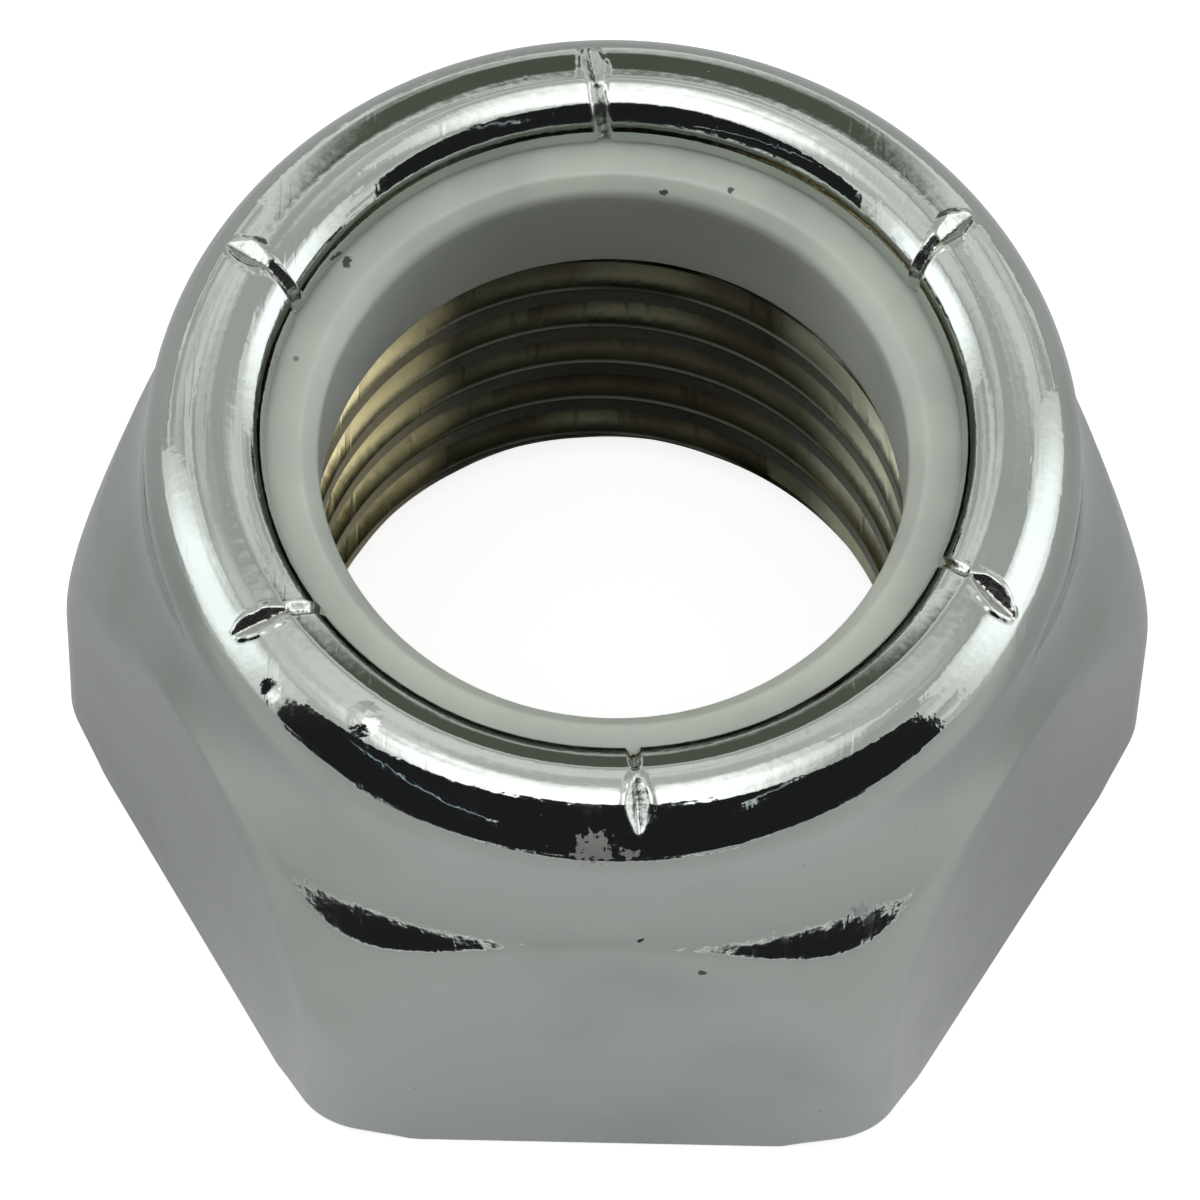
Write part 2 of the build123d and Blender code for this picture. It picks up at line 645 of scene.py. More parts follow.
@dataclass(frozen=True)
class ThreadPlating(Chrome):
    """The bore's thin plating: painted near black in the middle as painted shade, with painted light in a
    yellow band on the left and a silvery band on the right, and a painted highlight along the crests.
    """

    name: str = "thread_plating"
    # Painted shade: the plating is near black between the side bands, so the bore's far and near walls
    # look shaded.
    colour: tuple = (0.030, 0.029, 0.019, 1.0)
    stain: tuple = (0.018, 0.016, 0.010, 1.0)
    # Painted light: a yellow band on the bore's left and a silvery band on its right, placed by X,
    # brighten the thread there.
    painted_light_left: tuple = (0.66, 0.57, 0.32, 1.0)
    painted_light_right: tuple = (0.33, 0.33, 0.25, 1.0)
    # Painted highlight: a lighter colour along the thread's crests.
    crest_painted_highlight: tuple = (0.30, 0.30, 0.25, 1.0)
    painted_light_left_from: float = -2.7
    painted_light_left_to: float = -5.1
    painted_light_right_from: float = 2.8
    painted_light_right_to: float = 4.6
    patch_shift: float = 0.8
    crest_radius: float = 4.962
    crest_fade: float = 0.02
    crest_share: float = 0.7
    roughness: float = 0.24
    peel_height: float = 0.006
    scratches: float = 0.6
    pits: float = 0.8
    marks: tuple = ()

    def tint(self, writer: NodeWriter, place: bpy.types.NodeSocket,
             patches: bpy.types.NodeSocket) -> bpy.types.NodeSocket:
        """The plating's colour, by its place round the bore and its distance from the axis.

        Args:
            writer: the material's tree.
            place: the object's own coordinates.
            patches: share of the stained colour.

        Returns:
            The colour.
        """
        side, _, radius = writer.from_axis(place)
        shift = self.patch_shift * MM
        uneven = writer.math("MULTIPLY", writer.math("SUBTRACT", patches, 0.5), shift)
        across = writer.math("ADD", side, uneven)
        # Painted shade in the middle, painted light towards the left and right sides.
        painted_shade_middle = writer.mix(patches, self.colour, self.stain)
        left = writer.remap(across, self.painted_light_left_to * MM, self.painted_light_left_from * MM, 1.0, 0.0)
        right = writer.remap(across, self.painted_light_right_from * MM, self.painted_light_right_to * MM, 0.0, 1.0)
        plated = writer.mix(right, writer.mix(left, painted_shade_middle, self.painted_light_left), self.painted_light_right)
        # Painted highlight along the crests, by distance from the axis.
        near, step = self.crest_radius * MM, self.crest_fade * MM
        risen = writer.remap(radius, near, near + step, 0.0, self.crest_share)
        edge = writer.math(
            "MULTIPLY", risen, writer.remap(radius, near + step, near + 3 * step, 1.0, 0.0)
        )
        return writer.mix(edge, plated, self.crest_painted_highlight)


@dataclass(frozen=True)
class Nylon:
    """Natural nylon, milky and slightly see-through, with specks of dirt on its moulded skin and painted
    shade in its bore at the back.
    """

    name: str = "nylon"
    colour: tuple = (0.52, 0.55, 0.495, 1.0)
    cloud: tuple = (0.43, 0.46, 0.415, 1.0)
    speck: tuple = (0.06, 0.07, 0.06, 1.0)
    roughness: float = 0.34
    refraction: float = 1.53
    milkiness: float = 0.7
    depth: float = 1.2
    cloud_scale: float = 420.0
    cloud_edge: tuple = (0.35, 0.7)
    speck_spacing: float = 1.6
    speck_edge: tuple = (0.03, 0.06)
    speck_share: float = 0.85
    grain_scale: float = 5200.0
    grain_height: float = 0.004
    scratches: float = 0.5
    pits: float = 0.2
    # Painted shade: the bore's surface at the back, towards +Y, is darkened to this colour.
    painted_shade: tuple = (0.17, 0.18, 0.15, 1.0)
    painted_shade_share: float = 0.55
    painted_shade_radius: float = 4.80
    painted_shade_fade: float = 0.1
    painted_shade_back: tuple = (2.0, 4.4)
    marks: tuple = (
        Mark("spot_left", (-4.40, 3.28, 9.77), 0.10, 0.0, 0.0, (0.05, 0.06, 0.05, 1.0)),
        Mark("spot_far", (0.76, 4.83, 9.58), 0.07, 0.0, 0.0, (0.06, 0.07, 0.06, 1.0)),
        Mark("spot_far_right", (1.84, 4.78, 9.77), 0.06, 0.0, 0.0, (0.08, 0.09, 0.08, 1.0)),
    )

    def material(self) -> bpy.types.Material:
        """Builds the finish.

        Returns:
            The material.
        """
        made, writer = new_material(self.name)
        place = writer.node("ShaderNodeTexCoord").outputs["Object"]
        wear = SurfaceWear().add(writer, self.scratches, self.pits)
        clouds = writer.remap(writer.noise(place, self.cloud_scale, 3.0), *self.cloud_edge, 0.0, 1.0)
        clean = writer.mix(clouds, self.colour, self.cloud)
        # Painted shade in the bore, darkest at the back.
        _, to_back, radius = writer.from_axis(place)
        near_bore, off_bore = self.painted_shade_radius * MM, (self.painted_shade_radius + self.painted_shade_fade) * MM
        in_bore = writer.remap(radius, near_bore, off_bore, self.painted_shade_share, 0.0)
        at_back = writer.remap(to_back, *(y * MM for y in self.painted_shade_back), 0.0, 1.0)
        clean = writer.mix(writer.math("MULTIPLY", in_bore, at_back), clean, self.painted_shade)
        specks = writer.node(
            "ShaderNodeTexVoronoi", {"Vector": place, "Scale": 1 / (self.speck_spacing * MM)}
        ).outputs[0]
        in_speck = writer.remap(specks, *self.speck_edge, self.speck_share, 0.0)
        colour = writer.mix(in_speck, clean, self.speck)
        ragged_edge = writer.noise(place, MARK_NOISE_SCALE, 3.0)
        for mark in self.marks:
            colour = writer.mix(mark.share(writer, place, ragged_edge), colour, mark.colour)
        grain = writer.noise(place, self.grain_scale, 3.0)
        height = writer.math("ADD", grain, wear.outputs["Height"])
        bump = writer.node(
            "ShaderNodeBump",
            {"Strength": 1.0, "Distance": self.grain_height * MM, "Height": height},
        )
        shader = writer.node(
            "ShaderNodeBsdfPrincipled",
            {
                "Base Color": colour,
                "Roughness": self.roughness,
                "Normal": bump.outputs[0],
                "Subsurface Weight": self.milkiness,
                "Subsurface Radius": (1.0, 1.0, 1.0),
                "Subsurface Scale": self.depth * MM,
                "IOR": self.refraction,
            },
        )
        writer.node("ShaderNodeOutputMaterial", {"Surface": shader.outputs[0]})
        return made


@dataclass(frozen=True)
class NutSizes:
    """The nut's driving sizes, in millimetres and degrees, as on its drawing."""

    thread_minor: float = 4.96
    thread_major: float = 5.556
    pitch: float = 1.27
    crest_flat: float = 0.42
    crest_level: float = 5.82
    mouth_chamfer: float = 0.85
    seat_chamfer: float = 0.6
    seat: float = 7.35
    pocket_radius: float = 6.65
    pocket_top: float = 9.80
    pocket_bevel: float = 0.5
    collar_radius: float = 7.60
    waist_top: float = 9.06
    collar_top: float = 9.40
    lip_round: float = 1.3
    lip_return: float = 0.68
    crest_fall: float = 0.2
    lip_edge_top: float = 9.84
    lip_undercut: float = 0.02
    flat: float = 7.9375
    corner_round: float = 1.01
    fade_start: float = 3.46
    fade_height: float = 3.89
    flat_top_width: float = 0.6
    shoulder_slope: float = 60.0
    waist_round: float = 4.45
    shoulder_edge: float = 0.10
    chamfer_width: float = 0.72
    chamfer_height: float = 0.6
    edge_break: float = 0.05

    @property
    def lip_crest(self) -> float:
        """Radius of the lip's crest."""
        return self.collar_radius - self.lip_round

    @property
    def lip_top(self) -> float:
        """Height of the lip's crest."""
        return self.collar_top + self.lip_round

    @property
    def lip_edge(self) -> float:
        """Radius of the lip's edge."""
        return self.lip_crest - self.lip_return

    @property
    def corner(self) -> float:
        """Radius of the hexagon's corners, before they are rounded."""
        return self.flat / math.cos(math.radians(30))


@dataclass(frozen=True)
class NickSizes:
    """One nick that the rolling tool leaves across the lip, in millimetres and degrees."""

    count: int = 6
    first_turn: float = -86.07
    middle: float = 1.46
    off_centre: float = 0.34
    half_length: float = 0.54
    half_width: float = 0.17
    depth: float = 0.12
    burr_height: float = 0.030
    burr_width: float = 0.05
    groove_start: float = 1.95
    groove_half_width: float = 0.11
    groove_depth: float = 0.10
    wobble: float = 0.045
    mesh_reach: float = 4.2


NICK_LENGTHS = (
    "Middle", "Off Centre", "Half Length", "Half Width", "Depth", "Burr Height", "Burr Width",
    "Groove Start", "Groove Half Width", "Groove Depth", "Wobble",
)


@dataclass
class NutBody:
    """The steel nut: hexagon, shoulder, collar, rolled lip with its nicks, and thread."""

    sizes: NutSizes = field(default_factory=NutSizes)
    nick: NickSizes = field(default_factory=NickSizes)
    thread_columns: int = 192
    thread_rows: int = 14
    thread_turns: int = 8
    fade_rows: int = 14
    waist_rows: int = 16
    lip_rows: int = 52
    lip_inner_rows: int = 24
    waviness: float = 0.006
    swell_scale: float = 330.0
    ripple_scale: float = 4200.0

    def turns(self) -> np.ndarray:
        """Azimuths of the outside's columns, closer together at the nicks and the rounded corners.

        Returns:
            The azimuths in radians, rising through one full turn.
        """
        half_flat = (self.sizes.flat - self.sizes.corner_round) * math.tan(math.radians(30))
        tangent = math.degrees(math.atan(half_flat / self.sizes.flat))
        beside = 0.2
        nick_low = self.nick.first_turn + 90 - self.nick.mesh_reach
        nick_high = self.nick.first_turn + 90 + self.nick.mesh_reach
        spans = (
            (-30, -tangent, 8),
            (-tangent, -tangent + beside, 1),
            (-tangent + beside, nick_low, 25),
            (nick_low, nick_high, 36),
            (nick_high, tangent - beside, 17),
            (tangent - beside, tangent, 1),
            (tangent, 30, 8),
        )
        sector = np.concatenate([np.linspace(low, high, n, endpoint=False) for low, high, n in spans])
        whole = np.concatenate([sector + 60 * k for k in range(6)])
        return np.radians(whole - 90)

    def corner_radius_at(self, level: np.ndarray) -> np.ndarray:
        """Radius of the hexagon's rounded corners, which fade towards the collar.

        Args:
            level: heights in millimetres.

        Returns:
            The radii there.
        """
        size = self.sizes
        roundest = size.flat - size.flat_top_width / 2 / math.tan(math.radians(30))
        share = np.clip((level - size.fade_start) / size.fade_height, 0, 1)
        return size.corner_round + (roundest - size.corner_round) * share**2

    def hexagon_radius(self, turns: np.ndarray, level: np.ndarray) -> np.ndarray:
        """Radius of the round-cornered hexagon.

        Args:
            turns: azimuths in radians.
            level: height at each, in millimetres.

        Returns:
            Its radius at each, in millimetres.
        """
        size = self.sizes
        corner = self.corner_radius_at(level)
        from_flat = (np.degrees(turns) + 90 + 30) % 60 - 30
        plain = size.flat / np.cos(np.radians(from_flat))
        from_corner = np.radians(30 - np.abs(from_flat))
        centre = (size.flat - corner) / math.cos(math.radians(30))
        reach = corner**2 - (centre * np.sin(from_corner)) ** 2
        rounded = centre * np.cos(from_corner) + np.sqrt(np.maximum(reach, 0))
        tangent_offset = (size.flat - corner) * math.tan(math.radians(30))
        on_corner = np.abs(size.flat * np.tan(np.radians(from_flat))) > tangent_offset
        return np.where(on_corner & (reach > 0), rounded, plain)

    def shoulder_radius(self, level: np.ndarray) -> np.ndarray:
        """Radius of the turned shoulder: a round waist under the collar, then a steep cone.

        Args:
            level: heights in millimetres.

        Returns:
            The radii there.
        """
        size = self.sizes
        slope = math.radians(size.shoulder_slope)
        below = np.clip((size.waist_top - level) / size.waist_round, 0, math.cos(slope))
        waist = size.collar_radius + size.waist_round * (1 - np.sqrt(1 - below**2))
        cone_top = size.waist_top - size.waist_round * math.cos(slope)
        return waist + np.maximum(cone_top - level, 0) / math.tan(slope)

    def shoulder_meets(self, turns: np.ndarray) -> np.ndarray:
        """Where the shoulder meets the hexagon, found by halving.

        Args:
            turns: azimuths in radians.

        Returns:
            The height at each, in millimetres.
        """
        low = np.full(len(turns), self.sizes.fade_start)
        high = np.full(len(turns), self.sizes.waist_top)
        for _ in range(40):
            middle = (low + high) / 2
            outside = self.shoulder_radius(middle) > self.hexagon_radius(turns, middle)
            low = np.where(outside, middle, low)
            high = np.where(outside, high, middle)
        return low

    def outside_rows(self, turns: np.ndarray) -> list[tuple[np.ndarray, float]]:
        """The outside's section at every azimuth, from the bearing face to the lip's edge.

        Args:
            turns: azimuths in radians.

        Returns:
            Rows of radius and height, each with its distance along the lip.
        """
        size = self.sizes
        hexagon = self.hexagon_radius(turns, 0 * turns)
        bearing = np.minimum(size.corner - size.chamfer_width, hexagon - size.edge_break)
        run = (hexagon - (size.corner - size.chamfer_width)) / size.chamfer_width
        chamfer_top = np.maximum(run * size.chamfer_height, size.edge_break)
        foot = np.stack([bearing, 0 * turns], axis=1)
        top = np.stack([hexagon, chamfer_top], axis=1)
        reach = np.linalg.norm(top - foot, axis=1, keepdims=True)
        soft = np.minimum(0.4 * reach, 0.1)
        along = (top - foot) / reach
        inward = np.array([-1.0, 0.0])
        upward = np.array([0.0, 1.0])
        rows = [foot + 3 * soft * inward, foot + 1.5 * soft * inward]
        rows += corner_curve(foot + soft * inward, foot, foot + soft * along, 4)
        rows += straight(rows[-1], top - soft * along, 2)
        rows += corner_curve(top - soft * along, top, top + soft * upward, 4)
        meets = self.shoulder_meets(turns)
        upright = size.fade_start - 0.3
        rows += straight(rows[-1], np.stack([hexagon, 0 * turns + upright], axis=1), 3)
        for share in np.linspace(0, 1, self.fade_rows + 1):
            level = upright + (meets - size.shoulder_edge - upright) * share
            rows.append(np.stack([self.hexagon_radius(turns, level), level], axis=1))
        above = meets + size.shoulder_edge
        edge = np.stack([self.hexagon_radius(turns, meets), meets], axis=1)
        after = np.stack([self.shoulder_radius(above), above], axis=1)
        rows += corner_curve(rows[-1], edge, after, 4)[1:]
        for share in np.linspace(0, 1, self.waist_rows + 1)[1:]:
            level = above + (size.waist_top - above) * share
            rows.append(np.stack([self.shoulder_radius(level), level], axis=1))
        plain = [(row, 0.0) for row in rows]
        return plain + self.lip_rows_at(len(turns), size.waist_top)

    def lip_rows_at(self, columns: int, upright_from: float) -> list[tuple[np.ndarray, float]]:
        """The collar's upright and the rolled lip, the same at every azimuth.

        Args:
            columns: points in a ring.
            upright_from: height where the waist has turned upright.

        Returns:
            Rows of radius and height, each with its distance along the lip.
        """
        size = self.sizes
        section = [(size.collar_radius, z) for z in np.linspace(upright_from, size.collar_top, 4)[1:-1]]
        foot = len(section)
        for roll in np.linspace(0, math.pi / 2, self.lip_rows + 1):
            section.append((size.lip_crest + size.lip_round * math.cos(roll),
                            size.collar_top + size.lip_round * math.sin(roll)))
        crest = np.array([size.lip_crest, size.lip_top])
        over_edge = np.array([size.lip_edge, size.lip_top - size.crest_fall])
        edge = np.array([size.lip_edge, size.lip_edge_top])
        section += [tuple(p) for p in corner_curve(crest, over_edge, edge, self.lip_inner_rows)[1:]]
        section.append((size.lip_edge + size.lip_undercut, size.pocket_top))
        steps = np.linalg.norm(np.diff(np.array(section), axis=0), axis=1)
        lengths = np.concatenate([[0], np.cumsum(steps)])
        lengths = np.maximum(lengths - lengths[foot], 0)
        return [(np.tile(point, (columns, 1)), length) for point, length in zip(section, lengths)]

    def shell(self) -> bpy.types.Object:
        """Builds everything but the thread: two rings are left open for it.

        Returns:
            The object.
        """
        size = self.sizes
        grid = GridMesh()
        turns = self.turns()
        rings = [grid.ring(turns, row, lip) for row, lip in self.outside_rows(turns)]
        for low, high in zip(rings, rings[1:]):
            grid.join(low, high)
        even = np.arange(self.thread_columns) * math.tau / self.thread_columns - math.pi / 2

        def plain_ring(radius: float, height: float) -> np.ndarray:
            """A round ring with the thread's azimuths."""
            return grid.ring(even, np.tile((radius, height), (len(even), 1)))

        mouth = plain_ring(size.thread_minor + size.mouth_chamfer, 0)
        grid.zip(rings[0], turns, mouth, even)
        pocket = [
            plain_ring(size.pocket_radius - size.pocket_bevel, size.pocket_top),
            plain_ring(size.pocket_radius, size.pocket_top - size.pocket_bevel),
            plain_ring(size.pocket_radius, size.seat),
            plain_ring(size.thread_minor + size.seat_chamfer, size.seat),
        ]
        grid.zip(rings[-1], turns, pocket[0], even)
        for low, high in zip(pocket, pocket[1:]):
            grid.join(low, high)
        return grid.build("nut_body_dressed")

    def thread_tree(self) -> bpy.types.NodeTree:
        """The tree that winds the thread's ribbon up the bore and sews it into the shell.

        Returns:
            The geometry tree.
        """
        inputs = {
            "Geometry": (SocketKind.GEOMETRY, None),
            "Points Along": (SocketKind.COUNT, 2),
            "Points Across": (SocketKind.COUNT, 2),
            "Plating": (SocketKind.MATERIAL, None),
        }
        for name in ("Pitch", "Minor Radius", "Major Radius", "Crest Flat", "Middle Level",
                     "Seat Level", "Mouth Chamfer", "Seat Chamfer", "Turns"):
            inputs[name] = (SocketKind.NUMBER, 0.0)
        writer, given, result = new_tree(
            "thread", NodeKind.GEOMETRY, inputs, {"Geometry": SocketKind.GEOMETRY}
        )
        use = given.outputs
        ribbon = writer.node(
            "GeometryNodeMeshGrid",
            {
                "Size X": writer.math("MULTIPLY", use["Turns"], math.tau),
                "Size Y": use["Pitch"],
                "Vertices X": use["Points Along"],
                "Vertices Y": use["Points Across"],
            },
        )
        parts = writer.node(
            "ShaderNodeSeparateXYZ", {0: writer.node("GeometryNodeInputPosition").outputs[0]}
        )
        turn, across = parts.outputs[0], parts.outputs[1]
        climb = writer.math("MULTIPLY", writer.math("DIVIDE", turn, math.tau), use["Pitch"])
        level = writer.math("ADD", writer.math("ADD", climb, across), use["Middle Level"])
        height = writer.math("MINIMUM", writer.math("MAXIMUM", level, 0.0), use["Seat Level"])
        crest_end = writer.math("MULTIPLY", use["Crest Flat"], 0.4)
        root_start = writer.math("MULTIPLY", use["Pitch"], 0.47)
        profile = writer.remap(
            writer.math("ABSOLUTE", across),
            crest_end,
            root_start,
            use["Minor Radius"],
            use["Major Radius"],
        )
        mouth = writer.math(
            "SUBTRACT", writer.math("ADD", use["Minor Radius"], use["Mouth Chamfer"]), height
        )
        below_seat = writer.math("SUBTRACT", use["Seat Level"], height)
        seat = writer.math(
            "SUBTRACT", writer.math("ADD", use["Minor Radius"], use["Seat Chamfer"]), below_seat
        )
        radius = writer.math("MAXIMUM", profile, writer.math("MAXIMUM", mouth, seat))
        place = writer.node(
            "ShaderNodeCombineXYZ",
            {
                0: writer.math("MULTIPLY", radius, writer.math("COSINE", turn)),
                1: writer.math("MULTIPLY", radius, writer.math("SINE", turn)),
                2: height,
            },
        )
        wound = writer.node(
            "GeometryNodeSetPosition",
            {"Geometry": ribbon.outputs[0], "Position": place.outputs[0]},
        )
        plated = writer.node(
            "GeometryNodeSetMaterial", {"Geometry": wound.outputs[0], "Material": use["Plating"]}
        )
        whole = writer.node("GeometryNodeJoinGeometry")
        writer.feed(whole.inputs[0], plated.outputs[0])
        writer.feed(whole.inputs[0], use["Geometry"])
        sewn = writer.node(
            "GeometryNodeMergeByDistance", {"Geometry": whole.outputs[0], "Distance": 0.002 * MM}
        )
        real = writer.node("GeometryNodeRealizeInstances", {"Geometry": sewn.outputs[0]})
        writer.feed(result.inputs[0], real.outputs[0])
        return writer.tree

    def nick_tree(self) -> bpy.types.NodeTree:
        """The tree that presses the nicks into the lip, each a little different from the next.

        Returns:
            The geometry tree.
        """
        inputs = {
            "Geometry": (SocketKind.GEOMETRY, None),
            "Count": (SocketKind.COUNT, 6),
            "Seed": (SocketKind.COUNT, 0),
            "Plating": (SocketKind.MATERIAL, None),
        }
        for name in ("First Turn", "Waviness", "Top", *NICK_LENGTHS):
            inputs[name] = (SocketKind.NUMBER, 0.0)
        soft = 0.02 * MM
        writer, given, result = new_tree(
            "lip_nicks", NodeKind.GEOMETRY, inputs, {"Geometry": SocketKind.GEOMETRY}
        )
        use = given.outputs
        place = writer.node("GeometryNodeInputPosition").outputs[0]
        side, to_rear, radius = writer.from_axis(place)
        along = writer.node("GeometryNodeInputNamedAttribute", {"Name": "lip_length"}).outputs[0]
        turn = writer.math("ARCTAN2", to_rear, side)
        step = writer.math("DIVIDE", math.tau, use["Count"])
        from_first = writer.math("DIVIDE", writer.math("SUBTRACT", turn, use["First Turn"]), step)
        which = writer.math("ROUND", from_first)
        off = writer.math("MULTIPLY", writer.math("SUBTRACT", from_first, which), step)
        number_of = writer.math("FLOORED_MODULO", which, use["Count"])

        def random(low: float, high: float, salt: int) -> bpy.types.NodeSocket:
            """A number for each nick, between low and high, from the seed and a salt."""
            made = writer.node("FunctionNodeRandomValue", data_type="FLOAT")
            writer.feed(made.inputs[2], low)
            writer.feed(made.inputs[3], high)
            writer.feed(made.inputs["ID"], number_of)
            writer.feed(made.inputs["Seed"], writer.math("ADD", use["Seed"], float(salt)))
            return made.outputs[1]

        ripple = writer.math("SUBTRACT", writer.noise(place, self.ripple_scale, 4.0), 0.5)
        centre = writer.math("MULTIPLY", use["Middle"], random(0.95, 1.05, 1))
        its_turn = writer.math("ADD", use["First Turn"], writer.math("MULTIPLY", which, step))
        to_back = writer.remap(writer.math("SINE", its_turn), -1.0, 1.0, 0.0, 1.0, "LINEAR")
        centre = writer.math("ADD", centre, writer.math("MULTIPLY", to_back, use["Off Centre"]))
        from_centre = writer.math("SUBTRACT", along, centre)
        leaned = writer.math("MULTIPLY", from_centre, random(-0.22, 0.22, 2))
        bent = writer.math("MULTIPLY", ripple, use["Wobble"])
        across = writer.math("ADD", writer.math("MULTIPLY", off, radius), writer.math("ADD", leaned, bent))
        across = writer.math("ABSOLUTE", across)
        share = writer.math("DIVIDE", from_centre, use["Half Length"])
        lens = writer.math("SUBTRACT", 1.0, writer.math("POWER", writer.math("ABSOLUTE", share), 2.0))
        half = writer.math("MULTIPLY", use["Half Width"], random(0.8, 1.2, 3))
        lens_edge = writer.math("MULTIPLY", lens, half)
        into = writer.math("SUBTRACT", lens_edge, across)
        slope = writer.math("DIVIDE", use["Depth"], use["Half Width"])
        vee = writer.math("MULTIPLY", writer.math("SMOOTH_MAX", into, 0.0, soft), slope)
        from_rim = writer.math("DIVIDE", writer.math("ADD", into, use["Burr Width"]), use["Burr Width"])
        rim = writer.math("EXPONENT", writer.math("MULTIPLY", writer.math("POWER", from_rim, 2.0), -1.0))
        on_lens = writer.remap(lens, -0.1, 0.25, 0.0, 1.0)
        broken = writer.remap(ripple, -0.15, 0.2, 0.2, 1.6, "LINEAR")
        burr = writer.math(
            "MULTIPLY",
            writer.math("MULTIPLY", rim, on_lens),
            writer.math("MULTIPLY", use["Burr Height"], broken),
        )
        in_groove = writer.remap(
            along, use["Groove Start"], writer.math("ADD", use["Groove Start"], 0.25 * MM), 0.0, 1.0
        )
        groove_half = writer.math("MULTIPLY", use["Groove Half Width"], random(0.7, 1.3, 4))
        into_groove = writer.math("SUBTRACT", groove_half, across)
        groove_in = writer.math("SMOOTH_MAX", into_groove, 0.0, soft)
        groove_slope = writer.math("DIVIDE", use["Groove Depth"], use["Groove Half Width"])
        groove = writer.math("MULTIPLY", writer.math("MULTIPLY", groove_in, groove_slope), in_groove)
        on_lip = writer.math("GREATER_THAN", along, 0.0)
        cut = writer.math("MAXIMUM", vee, groove)
        nicked = writer.math("MULTIPLY", writer.math("SUBTRACT", burr, cut), on_lip)
        swell = writer.math("SUBTRACT", writer.noise(place, self.swell_scale, 1.0), 0.5)
        swell = writer.math("MULTIPLY", swell, use["Waviness"])
        swell = writer.math("MULTIPLY", swell, writer.remap(along, 0.0, 0.3 * MM, 0.0, 1.0))
        move = writer.node(
            "ShaderNodeVectorMath",
            {0: writer.node("GeometryNodeInputNormal").outputs[0]},
            operation="SCALE",
        )
        writer.feed(move.inputs["Scale"], writer.math("ADD", nicked, swell))
        beside = writer.math("MULTIPLY", use["Burr Width"], -1.5)
        torn_lens = writer.math("MULTIPLY", writer.remap(into, beside, 0.0, 0.0, 1.0), on_lens)
        torn_groove = writer.math(
            "MULTIPLY", writer.remap(into_groove, beside, 0.0, 0.0, 1.0), in_groove
        )
        torn = writer.math("MULTIPLY", writer.math("MAXIMUM", torn_lens, torn_groove), on_lip)
        marked = writer.node(
            "GeometryNodeStoreNamedAttribute",
            {"Geometry": use["Geometry"], "Name": "torn", "Value": torn},
        )
        pressed = writer.node(
            "GeometryNodeSetPosition", {"Geometry": marked.outputs[0], "Offset": move.outputs[0]}
        )
        now = writer.node(
            "ShaderNodeSeparateXYZ", {0: writer.node("GeometryNodeInputPosition").outputs[0]}
        )
        capped = writer.node(
            "ShaderNodeCombineXYZ",
            {
                0: now.outputs[0],
                1: now.outputs[1],
                2: writer.math("MINIMUM", now.outputs[2], use["Top"]),
            },
        )
        kept = writer.node(
            "GeometryNodeSetPosition",
            {"Geometry": pressed.outputs[0], "Position": capped.outputs[0]},
        )
        plated = writer.node(
            "GeometryNodeSetMaterial", {"Geometry": kept.outputs[0], "Material": use["Plating"]}
        )
        real = writer.node("GeometryNodeRealizeInstances", {"Geometry": plated.outputs[0]})
        writer.feed(result.inputs[0], real.outputs[0])
        return writer.tree

    def build(self, chrome: bpy.types.Material, plating: bpy.types.Material) -> bpy.types.Object:
        """Builds and dresses the nut.

        Args:
            chrome: the outside's finish.
            plating: the thread's finish.

        Returns:
            The finished piece.
        """
        size, nick = self.sizes, self.nick
        piece = self.shell()
        bring_faces_out(piece)
        values = {
            "Count": nick.count,
            "First Turn": math.radians(nick.first_turn),
            "Waviness": self.waviness * MM,
            "Top": size.lip_top * MM,
            "Seed": SEED,
            "Plating": chrome,
        }
        for name in NICK_LENGTHS:
            values[name] = getattr(nick, name.lower().replace(" ", "_")) * MM
        dress_by_tree(piece, self.nick_tree(), values)
        at_right = size.crest_level - size.pitch / 4
        middle = at_right - size.pitch * round((at_right - size.seat / 2) / size.pitch)
        dress_by_tree(
            piece,
            self.thread_tree(),
            {
                "Pitch": size.pitch * MM,
                "Minor Radius": size.thread_minor * MM,
                "Major Radius": size.thread_major * MM,
                "Crest Flat": size.crest_flat * MM,
                "Middle Level": middle * MM,
                "Seat Level": size.seat * MM,
                "Mouth Chamfer": size.mouth_chamfer * MM,
                "Seat Chamfer": size.seat_chamfer * MM,
                "Points Along": self.thread_columns * self.thread_turns + 1,
                "Points Across": self.thread_rows + 1,
                "Turns": float(self.thread_turns),
                "Plating": plating,
            },
        )
        close_and_smooth(piece, 35.0, size.pocket_radius + 0.05)
        return piece


def bring_faces_out(piece: bpy.types.Object) -> None:
    """Turns a mesh's faces the same way, outwards.

    Args:
        piece: the object.
    """
    work = bmesh.new()
    work.from_mesh(piece.data)
    bmesh.ops.recalc_face_normals(work, faces=work.faces)
    work.to_mesh(piece.data)
    work.free()


